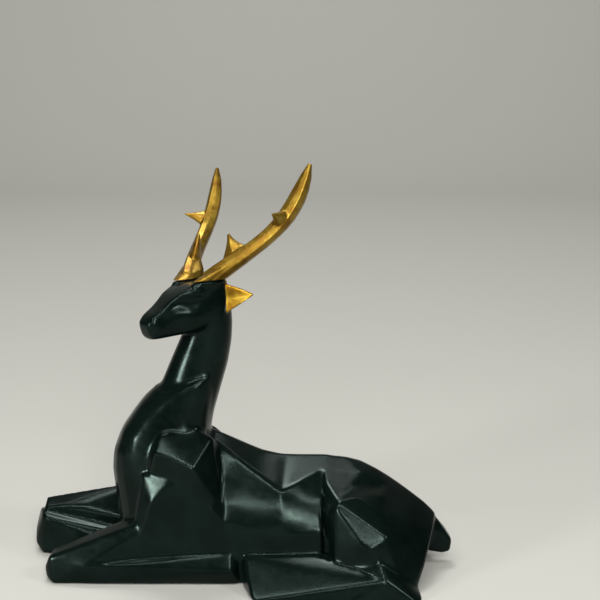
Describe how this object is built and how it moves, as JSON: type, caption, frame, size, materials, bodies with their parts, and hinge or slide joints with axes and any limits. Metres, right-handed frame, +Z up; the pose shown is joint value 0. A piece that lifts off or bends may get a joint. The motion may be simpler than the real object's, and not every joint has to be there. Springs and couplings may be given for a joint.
{
  "type": "resin deer figurine",
  "caption": "Table figurine of a reclining stag in faceted carving: dark body lying on folded legs, head turned to its left, gold antlers and ears.",
  "frame": {"origin": "middle of the figurine's box, on the ground it lies on", "axes": "+Z up; the chest faces -X and the tail +X; the deer's left side, to which the head turns, faces -Y"},
  "size_m": [0.241, 0.13, 0.2294],
  "materials": {
    "body_resin": "dark green-black lacquer, satin gloss",
    "gold_paint": "metallic gold paint on cast resin; the ears of the body have the same paint"
  },
  "bodies": {
    "root": {"deer_body": "body_resin", "antler_left": "gold_paint", "antler_right": "gold_paint"}
  },
  "joints": []
}
